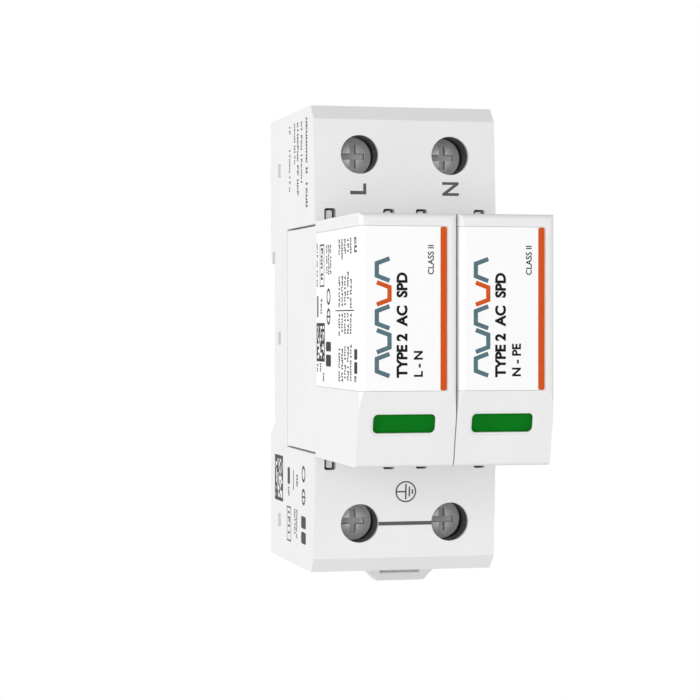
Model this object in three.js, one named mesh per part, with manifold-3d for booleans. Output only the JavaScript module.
// Two-module plug-in surge protector for a 35 mm mounting rail.
//
// Frame, in millimetres: +X to the right, +Y to the rear (into the wall), +Z up.
// The origin is the middle of the face that seats on the rail, halfway up the 90 mm base.
// The left module holds a varistor cartridge (line to neutral) and the right module
// a gas-tube cartridge (neutral to earth).

import * as THREE from 'three';
import { mergeVertices } from 'three/addons/utils/BufferGeometryUtils.js';
import Module from 'manifold-3d';

const wasm = await Module();
wasm.setup();

// ---------------------------------------------------------------- driving dimensions
const GAP = 0.3;                    // clearance between pieces that touch
const MODULE = 18;                  // module pitch
const HALF_W = MODULE;              // half width of the two-module base
const HALF_H = 45;                  // half height of the base
const REAR_Y = 4.2;                 // rearmost plane, behind the rail lips
const WALL = 1.4;                   // side wall of the base
const INNER_X = HALF_W - WALL;
const INNER_Z = 43.4;               // inside of the top and bottom walls

// front outline of the base
const EDGE_Y = -35.2;               // top and bottom faces end here
const BEVEL_Z = 42.25;
const BEVEL_Y = -37.9;
const SHOULDER_Y = -39.2;           // shoulder height where it meets the cartridges

// cartridge bay
const BAY_Z = 22;
const BAY_FLOOR_Y = -12.7;
const BAY_FLOOR_T = 1.5;
const BAY_WALL_T = 2;

// terminals
const TERM_X = 9;
const TERM_Z = 35.5;
const HOLE_R = 3.75;
const LEDGE_Y = -33.6;              // behind it the bore widens, so the screw head stays captive
const HEAD_BORE_R = 4.35;
const CHAMBER_Y = -28.9;            // front end of the clamp chambers
const HEAD_FACE_Y = -32.5;
const HEAD_T = 2.6;
const HEAD_R = 4.05;
const SHANK_R = 2.2;
const BAR_T = 2;                    // terminal bar thickness
const BAR_Y = -16.2;                // front face of a bar's tongue
const LEG_Y = -9;                   // front face of a bar's inner leg
const CAGE_Y = [-21, -4.9];         // clamp cage, fully open
const CAGE_Z = [30, 41];
const CAGE_HALF_W = 6;

// rail channel
const SEAT_Z = 14.9;                // half height of the seating face
const RELIEF = 0.3;                 // beside the seating face
const CHANNEL_Z = 17.9;
const HOOK_Y = 2.5;
const HOOK_TIP_Z = 15.35;

// cartridges
const CART_W = 17.9;
const CART_X = HALF_W - CART_W / 2;
const CART_FRONT_Y = -75.8;
const CART_REAR_Y = -13.05;
const CART_STEP_Y = -39.5;
const CART_Z = 22.5;
const CART_IN_Z = 21.6;
const CART_WALL = 1.3;
const FOLD_Z = -9;                  // the front slants back below this height
const SLANT_FOOT_Y = -72.7;
const CORNER_R = 1.2;
const TOP_FILLET = 1.1;
const FOOT_FILLET = 0.8;
const CAVITY_HALF_W = CART_W / 2 - CART_WALL;
const CAVITY_IN_Z = 20.3;

// label pocket
const LABEL_RIGHT = 7.15;
const LABEL_Z = [-8.95, 20.25];
const LABEL_BACK_Y = -40;
const POCKET_DEPTH = 0.25;
const LABEL_FACE = 0.05;
const LABEL_BACK = 0.2;
const LABEL_EDGE = 0.06;

// status window on the slanted front
const WINDOW_X = -0.44;
const WINDOW_Z = -14.8;
const WINDOW_W = 11.4;
const WINDOW_H = 3.5;
const WINDOW_R = 0.9;
const RIM = 0.4;
const RIM_DEPTH = 0.2;
const LIP_T = 0.6;                  // wall left in front of the flag
const FLAG_T = 0.6;
const FLAG_HALF_H = 2.1;
const BACKING_DEPTH = 2.6;

// blades and their sockets
const BLADE_Z = 16;
const BLADE_W = 8;
const BLADE_T = 1;
const BLADE_TIP_Y = -5;
const LEAF_T = 0.8;

// rail latch, under the right-hand module
const LATCH_X = TERM_X;
const LATCH_Y = [0.6, 3];
const LATCH_HALF_W = 5.6;
const LUG_HALF_W = 7.3;
const LUG_Y = 4;
const LUG_Z = [-45.6, -51.2];

// ---------------------------------------------------------------- materials
function plastic(color, roughness = 0.55) {
  return new THREE.MeshStandardMaterial({ color, roughness, metalness: 0 });
}

function metal(color, roughness = 0.35) {
  return new THREE.MeshStandardMaterial({ color, roughness, metalness: 1 });
}

const lightGrey = plastic(0xe9e9e7);
const coverGrey = plastic(0xe2e2e0);
const latchGrey = plastic(0xd2d2d0);
const paper = plastic(0xfafafa, 0.4);
const green = plastic(0x007010, 0.4);
const red = plastic(0xc01818, 0.4);
const blueCoat = plastic(0x2b4a86, 0.5);
const ceramic = plastic(0xf1efe8, 0.3);
const steel = metal(0xa8a8a6);
const copper = metal(0xc98a5e);
const tinned = metal(0xcfcfcb);
const spring = metal(0x9a9a98);

// ---------------------------------------------------------------- solids
function solid(geometry) {
  const bare = geometry.index ? geometry.toNonIndexed() : geometry.clone();
  bare.deleteAttribute('normal');
  bare.deleteAttribute('uv');
  const merged = mergeVertices(bare, 1e-4);
  return new wasm.Manifold(new wasm.Mesh({
    numProp: 3,
    vertProperties: new Float32Array(merged.attributes.position.array),
    triVerts: new Uint32Array(merged.index.array),
  }));
}

function geometryOf(body) {
  const mesh = body.getMesh();
  const geometry = new THREE.BufferGeometry();
  geometry.setAttribute('position', new THREE.BufferAttribute(mesh.vertProperties, 3));
  geometry.setIndex(new THREE.BufferAttribute(mesh.triVerts, 1));
  geometry.computeVertexNormals();
  return geometry;
}

function join(...bodies) {
  return bodies.reduce((all, body) => all.add(body));
}

function cut(body, ...tools) {
  return tools.reduce((rest, tool) => rest.subtract(tool), body);
}

function block([x0, x1], [y0, y1], [z0, z1]) {
  const geometry = new THREE.BoxGeometry(x1 - x0, y1 - y0, Math.abs(z1 - z0));
  return solid(geometry.translate((x0 + x1) / 2, (y0 + y1) / 2, (z0 + z1) / 2));
}

function outline(points) {
  return new THREE.Shape(points.map(([a, b]) => new THREE.Vector2(a, b)));
}

function extrude(shape, depth, segments = 4) {
  return new THREE.ExtrudeGeometry(shape, { depth, bevelEnabled: false, curveSegments: segments });
}

// An outline in (y, z), from x0 to x1.
function prismX(shape, [x0, x1], segments) {
  const turn = new THREE.Matrix4().set(0, 0, 1, x0, 1, 0, 0, 0, 0, 1, 0, 0, 0, 0, 0, 1);
  return solid(extrude(shape, x1 - x0, segments).applyMatrix4(turn));
}

// An outline in (x, z), from y0 to y1.
function prismY(shape, [y0, y1], segments) {
  const turn = new THREE.Matrix4().set(1, 0, 0, 0, 0, 0, -1, y1, 0, 1, 0, 0, 0, 0, 0, 1);
  return solid(extrude(shape, y1 - y0, segments).applyMatrix4(turn));
}

// An outline in (x, y), from z0 to z1.
function prismZ(shape, [z0, z1], segments) {
  return solid(extrude(shape, z1 - z0, segments).translate(0, 0, z0));
}

function rodY(radius, x, z, [y0, y1], segments = 24) {
  const geometry = new THREE.CylinderGeometry(radius, radius, y1 - y0, segments);
  return solid(geometry.translate(x, (y0 + y1) / 2, z));
}

function roundedRect(cx, cy, w, h, r) {
  const [l, b] = [cx - w / 2, cy - h / 2];
  const shape = new THREE.Shape();
  shape.absarc(l + w - r, b + r, r, -Math.PI / 2, 0);
  shape.absarc(l + w - r, b + h - r, r, 0, Math.PI / 2);
  shape.absarc(l + r, b + h - r, r, Math.PI / 2, Math.PI);
  shape.absarc(l + r, b + r, r, Math.PI, Math.PI * 1.5);
  return shape;
}

// A coil spring along Z, as one closed tube.
function coil(x, y, [z0, z1], radius, wire, turns) {
  const stepsPerTurn = 12;
  const steps = turns * stepsPerTurn;
  const points = [];
  for (let i = 0; i <= steps; i += 1) {
    const angle = (i / stepsPerTurn) * Math.PI * 2;
    const z = z0 + wire / 2 + ((z1 - z0 - wire) * i) / steps;
    points.push(new THREE.Vector3(x + radius * Math.cos(angle), y + radius * Math.sin(angle), z));
  }
  const section = new THREE.Shape();
  section.absarc(0, 0, wire / 2, 0, Math.PI * 2);
  return new THREE.ExtrudeGeometry(section, {
    steps,
    curveSegments: 3,
    bevelEnabled: false,
    extrudePath: new THREE.CatmullRomCurve3(points),
  });
}

const part = new THREE.Group();

function add(parent, name, body, material) {
  const geometry = body.isBufferGeometry ? body : geometryOf(body);
  const mesh = new THREE.Mesh(geometry, material);
  mesh.name = name;
  parent.add(mesh);
}

// ---------------------------------------------------------------- base housing
const BAR_Z_TOP = 42.5;             // free end of a bar's tongue
const SILL_Z = 25.2;                // bend of a bar, beside the bay
const FORK_TIP_Y = BAY_FLOOR_Y + BAY_FLOOR_T + GAP;
const FORK_BACK_Y = -3.5;
const SNAPS = [[33, 35.7], [-1.3, 1.3], [-38.7, -36.1]];
const SNAP_Y = [-6.2, -3.3];
const NUB_SINK = 1.5;               // the cover's nubs end this far under the side faces
const NOTCH_X = [-15, -3.4, 3.1, 14.7];
const KEY_Z = 5;                    // the two cartridges are keyed above and below the middle
const KEY_R = 1.2;

function sideProfile() {
  return outline([
    [REAR_Y, HALF_H],
    [EDGE_Y, HALF_H],
    [BEVEL_Y, BEVEL_Z],
    [SHOULDER_Y, BAY_Z],
    [BAY_FLOOR_Y, BAY_Z],
    [BAY_FLOOR_Y, -BAY_Z],
    [SHOULDER_Y, -BAY_Z],
    [BEVEL_Y, -BEVEL_Z],
    [EDGE_Y, -HALF_H],
    [REAR_Y, -HALF_H],
    [REAR_Y, -20],
    [-RELIEF, -CHANNEL_Z],
    [-RELIEF, -SEAT_Z],
    [0, -SEAT_Z],
    [0, SEAT_Z],
    [-RELIEF, SEAT_Z],
    [-RELIEF, CHANNEL_Z],
    [HOOK_Y, CHANNEL_Z],
    [HOOK_Y, HOOK_TIP_Z],
    [REAR_Y, HOOK_TIP_Z + 1.3],
  ]);
}

function wireEntry(x, side) {
  const shape = roundedRect(x, -10.4, 9.4, 9.4, 2.4);
  const low = side > 0 ? INNER_Z - 1 : -HALF_H - 1;
  return prismZ(shape, [low, low + 3.6]);
}

// U-shaped slot in the shoulder, round a springy tongue that grips the cartridge.
function shoulderNotch(x, side) {
  const notch = roundedRect(x, side * (BAY_Z + 0.8), 2.3, 4.6, 0.5);
  const tongue = roundedRect(x, side * (BAY_Z + 1), 1.1, 3.4, 0.25);
  return cut(
    prismY(notch, [SHOULDER_Y - 5, -31.5]),
    prismY(tongue, [SHOULDER_Y + 1.1, -30.5]),
  );
}

function baseHousing() {
  const shell = prismX(sideProfile(), [-HALF_W, HALF_W]);
  const back = REAR_Y + 1;
  const chamberFoot = BAY_Z + BAY_WALL_T;
  const across = [-INNER_X, INNER_X];
  const cavities = [
    block(across, [CHAMBER_Y, back], [chamberFoot, INNER_Z]),
    block(across, [CHAMBER_Y, back], [-INNER_Z, -chamberFoot]),
    block(across, [BAY_FLOOR_Y + BAY_FLOOR_T, back], [-chamberFoot - 1, chamberFoot + 1]),
  ];
  const partition = [-0.8, 0.8];
  const partitions = [
    block(partition, [CHAMBER_Y - 1, -2.2], [chamberFoot - 1, INNER_Z + 1]),
    block(partition, [CHAMBER_Y - 1, LEG_Y - 2], [-INNER_Z - 1, -chamberFoot + 1]),
  ];
  const openings = [];
  for (const x of [-TERM_X, TERM_X]) {
    for (const side of [1, -1]) {
      openings.push(rodY(HOLE_R, x, side * TERM_Z, [SHOULDER_Y - 5, LEDGE_Y + 1], 32));
      openings.push(rodY(HEAD_BORE_R, x, side * TERM_Z, [LEDGE_Y, CHAMBER_Y + 1], 32));
      openings.push(wireEntry(x, side));
      openings.push(block(
        [x - BLADE_W / 2 - 0.6, x + BLADE_W / 2 + 0.6],
        [BAY_FLOOR_Y - 1, BAY_FLOOR_Y + BAY_FLOOR_T + 1],
        [side * BLADE_Z - 1.2, side * BLADE_Z + 1.2],
      ));
    }
    openings.push(rodY(KEY_R + 0.4, x, keyHeight(x), [BAY_FLOOR_Y - 1, FORK_TIP_Y], 16));
  }
  for (const x of NOTCH_X) {
    openings.push(shoulderNotch(x, 1));
    openings.push(shoulderNotch(x, -1));
  }
  for (const heights of SNAPS) {
    openings.push(block([-HALF_W - 1, HALF_W + 1], SNAP_Y, heights));
  }
  const latchWay = LATCH_HALF_W + GAP;
  openings.push(block([LATCH_X - latchWay, LATCH_X + latchWay], [GAP, back], [-HALF_H - 1, -INNER_Z + 1]));
  return cut(join(cut(shell, ...cavities), ...partitions), ...openings);
}

function keyHeight(x) {
  return x < 0 ? KEY_Z : -KEY_Z;
}

add(part, 'base_housing', baseHousing(), lightGrey);

// ---------------------------------------------------------------- rear cover
const COVER_X = INNER_X - GAP;
const COVER_Z = INNER_Z - GAP;
const COVER_Y = -1.9;
const LIPS_Z = [-COVER_Z, -27];
const ANCHOR_Z = [-40.5, -38.5];    // fixed stop for the latch spring

function rearCover() {
  const slab = prismX(outline([
    [COVER_Y, COVER_Z],
    [COVER_Y, -COVER_Z],
    [REAR_Y, -COVER_Z],
    [REAR_Y, -20],
    [-RELIEF, -CHANNEL_Z],
    [-RELIEF, -SEAT_Z],
    [0, -SEAT_Z],
    [0, SEAT_Z],
    [-RELIEF, SEAT_Z],
    [-RELIEF, CHANNEL_Z],
    [HOOK_Y, CHANNEL_Z],
    [HOOK_Y, HOOK_TIP_Z],
    [REAR_Y, HOOK_TIP_Z + 1.3],
    [REAR_Y, COVER_Z],
  ]), [-COVER_X, COVER_X]);
  const rib = 1.6;
  const hollows = [
    block([-COVER_X + rib, -rib / 2], [COVER_Y - 1, REAR_Y - rib], [CHANNEL_Z + 3, COVER_Z - rib]),
    block([rib / 2, COVER_X - rib], [COVER_Y - 1, REAR_Y - rib], [CHANNEL_Z + 3, COVER_Z - rib]),
    block([-COVER_X + rib, LATCH_X - 8], [COVER_Y - 1, REAR_Y - rib], [-COVER_Z + rib, -CHANNEL_Z - 5]),
  ];
  const way = LATCH_HALF_W + GAP;
  const channel = block([LATCH_X - way, LATCH_X + way], [GAP, REAR_Y + 1], [-COVER_Z - 1, -CHANNEL_Z + 1.5]);
  const lipY = [LATCH_Y[1] + GAP, REAR_Y];
  const extras = [
    block([LATCH_X - way - 1, LATCH_X - way + 1.5], lipY, LIPS_Z),
    block([LATCH_X + way - 1.5, LATCH_X + way + 1], lipY, LIPS_Z),
    block([LATCH_X - 2.4, LATCH_X + 2.4], [0, LATCH_Y[1]], ANCHOR_Z),
  ];
  for (const [low, high] of SNAPS) {
    for (const side of [-1, 1]) {
      const arm = [COVER_X - 1.2, COVER_X].map((x) => x * side).sort((a, b) => a - b);
      const nub = [COVER_X - 0.5, HALF_W - NUB_SINK].map((x) => x * side).sort((a, b) => a - b);
      const height = [low + GAP, high - GAP];
      extras.push(block(arm, [SNAP_Y[0] + GAP, COVER_Y + 0.5], height));
      extras.push(block(nub, [SNAP_Y[0] + GAP, SNAP_Y[1] - GAP], height));
    }
  }
  return join(cut(slab, ...hollows, channel), ...extras);
}

add(part, 'rear_cover', rearCover(), coverGrey);

// ---------------------------------------------------------------- terminals
function crossRecess(x, z) {
  const arm = 2.35;
  const half = 0.65;
  const depth = [HEAD_FACE_Y - 1, HEAD_FACE_Y + 1.5];
  return join(
    block([x - arm, x + arm], depth, [z - half, z + half]),
    block([x - half, x + half], depth, [z - arm, z + arm]),
  );
}

function terminalScrew(x, z) {
  const headBack = HEAD_FACE_Y + HEAD_T;
  const tip = BAR_Y - GAP;
  const profile = [
    [0, HEAD_FACE_Y],
    [HEAD_R - 0.5, HEAD_FACE_Y],
    [HEAD_R, HEAD_FACE_Y + 0.5],
    [HEAD_R, headBack],
    [SHANK_R, headBack],
    [SHANK_R, tip - 0.6],
    [SHANK_R - 0.6, tip],
    [0, tip],
  ];
  const turned = new THREE.LatheGeometry(profile.map(([r, y]) => new THREE.Vector2(r, y)), 24);
  return cut(solid(turned.translate(x, 0, z)), crossRecess(x, z));
}

function clampCage(x, side) {
  const z = CAGE_Z.map((height) => height * side).sort((a, b) => a - b);
  const floor = 2;
  const roof = 3;
  const cheek = 1.5;
  const ring = block([x - CAGE_HALF_W, x + CAGE_HALF_W], CAGE_Y, z);
  const inside = block(
    [x - CAGE_HALF_W + cheek, x + CAGE_HALF_W - cheek],
    [CAGE_Y[0] + roof, CAGE_Y[1] - floor],
    [z[0] - 1, z[1] + 1],
  );
  const thread = rodY(SHANK_R + 0.35, x, side * TERM_Z, [CAGE_Y[0] - 1, CAGE_Y[0] + roof + 1]);
  return cut(ring, inside, thread);
}

// Strip that the screw presses on, bent rearwards beside the bay and ending at `footZ`.
function terminalBar(x, side, footZ) {
  const profile = outline([
    [BAR_Y, BAR_Z_TOP * side],
    [BAR_Y + BAR_T, BAR_Z_TOP * side],
    [BAR_Y + BAR_T, (SILL_Z + BAR_T) * side],
    [LEG_Y + BAR_T, (SILL_Z + BAR_T) * side],
    [LEG_Y + BAR_T, footZ * side],
    [LEG_Y, footZ * side],
    [LEG_Y, SILL_Z * side],
    [BAR_Y, SILL_Z * side],
  ]);
  return prismX(profile, [x - BLADE_W / 2, x + BLADE_W / 2]);
}

for (const [place, x] of [['left', -TERM_X], ['right', TERM_X]]) {
  for (const [level, side] of [['top', 1], ['bottom', -1]]) {
    add(part, `screw_${level}_${place}`, terminalScrew(x, side * TERM_Z), steel);
    add(part, `clamp_cage_${level}_${place}`, clampCage(x, side), steel);
  }
}

// ---------------------------------------------------------------- conductors in the base
// Two sprung leaves that grip a blade, joined at the back.
function forkContact(x, side) {
  const z = side * BLADE_Z;
  const slot = BLADE_T / 2 + GAP;
  const outer = block(
    [x - BLADE_W / 2 + 0.5, x + BLADE_W / 2 - 0.5],
    [FORK_TIP_Y, FORK_BACK_Y],
    [z - slot - LEAF_T, z + slot + LEAF_T],
  );
  const inner = block([x - BLADE_W, x + BLADE_W], [FORK_TIP_Y - 1, FORK_BACK_Y - LEAF_T], [z - slot, z + slot]);
  return cut(outer, inner);
}

const FORK_HALF = BLADE_T / 2 + GAP + LEAF_T;
const LEG_END = BLADE_Z + FORK_HALF + GAP;

// Flat strip from the right-hand top socket to the left-hand bottom socket.
function neutralLink() {
  const x = [5.5, 12.5];
  const z = BLADE_Z + 2;
  const strap = 3;
  return prismY(outline([
    [x[0], z],
    [x[1], z],
    [x[1], -strap],
    [-x[0], -strap],
    [-x[0], -z],
    [-x[1], -z],
    [-x[1], strap],
    [x[0], strap],
  ]), [FORK_BACK_Y + GAP, COVER_Y - GAP]);
}

function earthBar() {
  const across = block([-TERM_X, TERM_X], [LEG_Y, LEG_Y + BAR_T], [-SILL_Z - BAR_T, -SILL_Z + 2]);
  return join(
    terminalBar(-TERM_X, -1, SILL_Z - 2),
    terminalBar(TERM_X, -1, LEG_END),
    across,
  );
}

add(part, 'line_bar', terminalBar(-TERM_X, 1, LEG_END), copper);
add(part, 'neutral_bar', terminalBar(TERM_X, 1, LEG_END), copper);
add(part, 'neutral_link', neutralLink(), copper);
add(part, 'earth_bar', earthBar(), copper);
add(part, 'socket_top_left', forkContact(-TERM_X, 1), tinned);
add(part, 'socket_top_right', forkContact(TERM_X, 1), tinned);
add(part, 'socket_bottom_left', forkContact(-TERM_X, -1), tinned);
add(part, 'socket_bottom_right', forkContact(TERM_X, -1), tinned);

// ---------------------------------------------------------------- rail latch
const SPRING_Z = [-38.2, -26.3];

function railLatch() {
  const body = prismX(outline([
    [1.5, -15.4],
    [1.5, -17.9],
    [LATCH_Y[0], -17.9],
    [LATCH_Y[0], LUG_Z[0]],
    [LATCH_Y[1], LUG_Z[0]],
    [LATCH_Y[1], -21.5],
    [LUG_Y, -21.5],
    [LUG_Y, -19.5],
  ]), [LATCH_X - LATCH_HALF_W, LATCH_X + LATCH_HALF_W]);
  const chamfer = 2.2;
  const [top, foot] = LUG_Z;
  const lug = prismY(outline([
    [LATCH_X - LUG_HALF_W, top],
    [LATCH_X - LUG_HALF_W, foot + chamfer],
    [LATCH_X - LUG_HALF_W + chamfer, foot],
    [LATCH_X + LUG_HALF_W - chamfer, foot],
    [LATCH_X + LUG_HALF_W, foot + chamfer],
    [LATCH_X + LUG_HALF_W, top],
  ]), [LATCH_Y[0], LUG_Y]);
  const neck = block([LATCH_X - LATCH_HALF_W, LATCH_X + LATCH_HALF_W], LATCH_Y, [top - 1, top + 1]);
  const driverSlot = block([LATCH_X - 4.3, LATCH_X + 4.3], [0, LUG_Y - 0.8], [-49.5, -46.9]);
  const springWindow = block([LATCH_X - 2.8, LATCH_X + 2.8], [0, REAR_Y], [ANCHOR_Z[0] - 0.5, SPRING_Z[1] + GAP]);
  return cut(join(body, neck, lug), driverSlot, springWindow);
}

add(part, 'rail_latch', railLatch(), latchGrey);
add(part, 'latch_spring', coil(LATCH_X, 1.8, SPRING_Z, 1.05, 0.45, 7), spring);

// ---------------------------------------------------------------- cartridges
const SLANT = new THREE.Vector2(SLANT_FOOT_Y - CART_FRONT_Y, -CART_Z - FOLD_Z).normalize();
const WINDOW_Y = CART_FRONT_Y + ((WINDOW_Z - FOLD_Z) * SLANT.x) / SLANT.y;

// Moves geometry drawn flat, facing +Z, on to the slanted front with its middle at the window.
function onSlant(geometry, x) {
  const up = -SLANT.y;
  const lean = SLANT.x;
  return solid(geometry.applyMatrix4(new THREE.Matrix4().set(
    1, 0, 0, x + WINDOW_X,
    0, -lean, -up, WINDOW_Y,
    0, up, -lean, WINDOW_Z,
    0, 0, 0, 1,
  )));
}

// A plate parallel to the slanted front: `front` and `back` are depths under its surface.
function slantPlate(x, shape, front, back) {
  return onSlant(extrude(shape, back - front).translate(0, 0, -back), x);
}

function slantBlock(x, [x0, x1], [s0, s1], front, back) {
  return slantPlate(x, outline([[x0, s0], [x1, s0], [x1, s1], [x0, s1]]), front, back);
}

function cartridgeOutline() {
  const shape = new THREE.Shape();
  shape.moveTo(CART_REAR_Y, CART_IN_Z);
  shape.lineTo(CART_STEP_Y, CART_IN_Z);
  shape.lineTo(CART_STEP_Y, CART_Z);
  shape.absarc(CART_FRONT_Y + TOP_FILLET, CART_Z - TOP_FILLET, TOP_FILLET, Math.PI / 2, Math.PI);
  shape.lineTo(CART_FRONT_Y, FOLD_Z);
  shape.lineTo(SLANT_FOOT_Y - SLANT.x * FOOT_FILLET, -CART_Z - SLANT.y * FOOT_FILLET);
  shape.quadraticCurveTo(SLANT_FOOT_Y, -CART_Z, SLANT_FOOT_Y + FOOT_FILLET, -CART_Z);
  shape.lineTo(CART_STEP_Y, -CART_Z);
  shape.lineTo(CART_STEP_Y, -CART_IN_Z);
  shape.lineTo(CART_REAR_Y, -CART_IN_Z);
  return shape;
}

function cartridgePlan(x) {
  const half = CART_W / 2;
  const shape = new THREE.Shape();
  shape.moveTo(x - half, CART_REAR_Y + 1);
  shape.lineTo(x - half, CART_FRONT_Y + CORNER_R);
  shape.absarc(x - half + CORNER_R, CART_FRONT_Y + CORNER_R, CORNER_R, Math.PI, Math.PI * 1.5);
  shape.absarc(x + half - CORNER_R, CART_FRONT_Y + CORNER_R, CORNER_R, Math.PI * 1.5, Math.PI * 2);
  shape.lineTo(x + half, CART_REAR_Y + 1);
  return shape;
}

function cartridgeCavity(x) {
  const front = CART_FRONT_Y + CART_WALL;
  const high = CART_Z - CART_WALL;
  const step = CART_STEP_Y - CART_WALL;
  const lean = SLANT.x / SLANT.y;
  const slantAt = (z) => CART_FRONT_Y - CART_WALL / SLANT.y + (z - FOLD_Z) * lean;
  const foldZ = FOLD_Z + (CART_WALL + CART_WALL / SLANT.y) / lean;
  return prismX(outline([
    [CART_REAR_Y + 1, CAVITY_IN_Z],
    [step, CAVITY_IN_Z],
    [step, high],
    [front, high],
    [front, foldZ],
    [slantAt(-high), -high],
    [step, -high],
    [step, -CAVITY_IN_Z],
    [CART_REAR_Y + 1, -CAVITY_IN_Z],
  ]), [x - CAVITY_HALF_W, x + CAVITY_HALF_W]);
}

// The label's L-shaped section, from `front` to `back` below the surface.
function labelBand(x, front, back, margin) {
  const left = x - CART_W / 2;
  const [cx, cy] = [left + CORNER_R, CART_FRONT_Y + CORNER_R];
  const right = x + LABEL_RIGHT - margin;
  const rear = LABEL_BACK_Y - margin;
  const shape = new THREE.Shape();
  shape.moveTo(right, CART_FRONT_Y + back);
  shape.lineTo(cx, CART_FRONT_Y + back);
  shape.absarc(cx, cy, CORNER_R - back, Math.PI * 1.5, Math.PI, true);
  shape.lineTo(left + back, rear);
  shape.lineTo(left + front, rear);
  shape.absarc(cx, cy, CORNER_R - front, Math.PI, Math.PI * 1.5);
  shape.lineTo(right, CART_FRONT_Y + front);
  return prismZ(shape, [LABEL_Z[0] + margin, LABEL_Z[1] - margin]);
}

function cartridgeShell(x) {
  const outer = prismX(cartridgeOutline(), [x - CART_W / 2, x + CART_W / 2])
    .intersect(prismZ(cartridgePlan(x), [-CART_Z - 1, CART_Z + 1]));
  const window = roundedRect(0, 0, WINDOW_W, WINDOW_H, WINDOW_R);
  const rim = roundedRect(0, 0, WINDOW_W + 2 * RIM, WINDOW_H + 2 * RIM, WINDOW_R + RIM);
  return cut(
    outer,
    cartridgeCavity(x),
    labelBand(x, -1, POCKET_DEPTH, 0),
    slantPlate(x, window, -1, CART_WALL + 1),
    slantPlate(x, rim, -1, RIM_DEPTH),
    slantBlock(x, [-6.7, 7.7], [-2.6, 4.8], LIP_T, CART_WALL + 0.1),
  );
}

function backCap(x) {
  const plate = block(
    [x - CAVITY_HALF_W + GAP, x + CAVITY_HALF_W - GAP],
    [CART_REAR_Y - 2, CART_REAR_Y],
    [-CAVITY_IN_Z + GAP, CAVITY_IN_Z - GAP],
  );
  const module = Math.sign(x) * TERM_X;
  const slots = [1, -1].map((side) => block(
    [module - BLADE_W / 2 - GAP, module + BLADE_W / 2 + GAP],
    [CART_REAR_Y - 3, CART_REAR_Y + 1],
    [side * BLADE_Z - BLADE_T / 2 - GAP, side * BLADE_Z + BLADE_T / 2 + GAP],
  ));
  const key = rodY(KEY_R, module, keyHeight(x), [CART_REAR_Y - 1, BAY_FLOOR_Y + BAY_FLOOR_T - 0.2], 16);
  return cut(join(plate, key), ...slots);
}

function blade(x, side) {
  const module = Math.sign(x) * TERM_X;
  const half = BLADE_W / 2;
  const chamfer = 0.8;
  const shape = outline([
    [module - half, -23],
    [module + half, -23],
    [module + half, BLADE_TIP_Y - chamfer],
    [module + half - chamfer, BLADE_TIP_Y],
    [module - half + chamfer, BLADE_TIP_Y],
    [module - half, BLADE_TIP_Y - chamfer],
  ]);
  return prismZ(shape, [side * BLADE_Z - BLADE_T / 2, side * BLADE_Z + BLADE_T / 2]);
}

// Green flag with the side arm and carriage that the trip spring drives.
const ARM_X = [6.5, 7.3];
const CARRIAGE_Y = [-66.5, -64.5];
const CARRIAGE_Z = [-17, -13];

function tripSlide(x) {
  const middle = x + WINDOW_X;
  const flag = slantBlock(x, [-6.4, ARM_X[1]], [-FLAG_HALF_H, FLAG_HALF_H], LIP_T + GAP, LIP_T + GAP + FLAG_T);
  const arm = block([middle + ARM_X[0], middle + ARM_X[1]], [-73, CARRIAGE_Y[1]], [-16, CARRIAGE_Z[1]]);
  const carriage = block([middle - 4, middle + ARM_X[1]], CARRIAGE_Y, CARRIAGE_Z);
  const shutter = block([middle - 4, middle + 4], [CARRIAGE_Y[1] - 0.8, CARRIAGE_Y[1]], [CARRIAGE_Z[1] - 1, 4]);
  return join(flag, arm, carriage, shutter);
}

function flagBacking(x) {
  return slantBlock(x, [-6.4, ARM_X[0] - 0.4], [-2.6, 2.6], BACKING_DEPTH, BACKING_DEPTH + 0.5);
}

function tripSpring(x) {
  const floor = -CART_Z + CART_WALL + GAP;
  return coil(x + WINDOW_X, -65.5, [floor, CARRIAGE_Z[0] - GAP], 1.5, 0.5, 3);
}

function varistorBlock(x) {
  const shape = roundedRect(-42, 0, 34, 34, 4);
  return prismX(shape, [x - 4, x + 4]);
}

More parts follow.
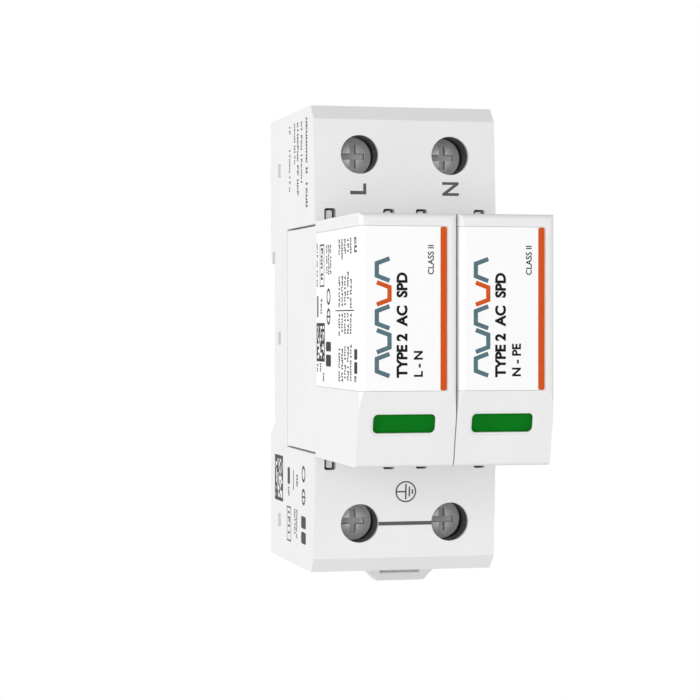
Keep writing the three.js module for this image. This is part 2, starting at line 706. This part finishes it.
function varistorPlate(x, side) {
  const inner = 4 + GAP;
  const span = [inner, inner + 0.8].map((d) => x + side * d).sort((a, b) => a - b);
  return prismX(roundedRect(-42, 0, 24, 24, 5), span);
}

function gasTube() {
  const ceramicHalf = 8;
  const r = 6.5;
  const geometry = new THREE.LatheGeometry([
    new THREE.Vector2(0, -ceramicHalf),
    new THREE.Vector2(r, -ceramicHalf),
    new THREE.Vector2(r, ceramicHalf),
    new THREE.Vector2(0, ceramicHalf),
  ], 24);
  return geometry.rotateX(Math.PI / 2).translate(CART_X, -44, 0);
}

function gasTubeCap(side) {
  const points = [[0, 8.3], [5.6, 8.3], [5.6, 10.3], [2, 10.3], [2, 13], [0, 13]];
  const geometry = new THREE.LatheGeometry(points.map(([r, z]) => new THREE.Vector2(r, z)), 24);
  return geometry.rotateX((side * Math.PI) / 2).translate(CART_X, -44, 0);
}

for (const [kind, x] of [['varistor', -CART_X], ['gastube', CART_X]]) {
  const cartridge = new THREE.Group();
  part.add(cartridge);
  add(cartridge, `${kind}_shell`, cartridgeShell(x), lightGrey);
  add(cartridge, `${kind}_back_cap`, backCap(x), coverGrey);
  add(cartridge, `${kind}_label`, labelBand(x, LABEL_FACE, LABEL_BACK, LABEL_EDGE), paper);
  add(cartridge, `${kind}_flag_backing`, flagBacking(x), red);
  add(cartridge, `${kind}_trip_slide`, tripSlide(x), green);
  add(cartridge, `${kind}_trip_spring`, tripSpring(x), spring);
  add(cartridge, `${kind}_blade_top`, blade(x, 1), tinned);
  add(cartridge, `${kind}_blade_bottom`, blade(x, -1), tinned);
}

add(part, 'varistor_block', varistorBlock(-CART_X), blueCoat);
add(part, 'varistor_plate_left', varistorPlate(-CART_X, -1), tinned);
add(part, 'varistor_plate_right', varistorPlate(-CART_X, 1), tinned);
add(part, 'gastube_body', solid(gasTube()), ceramic);
add(part, 'gastube_cap_top', solid(gasTubeCap(1)), tinned);
add(part, 'gastube_cap_bottom', solid(gasTubeCap(-1)), tinned);

export default part;
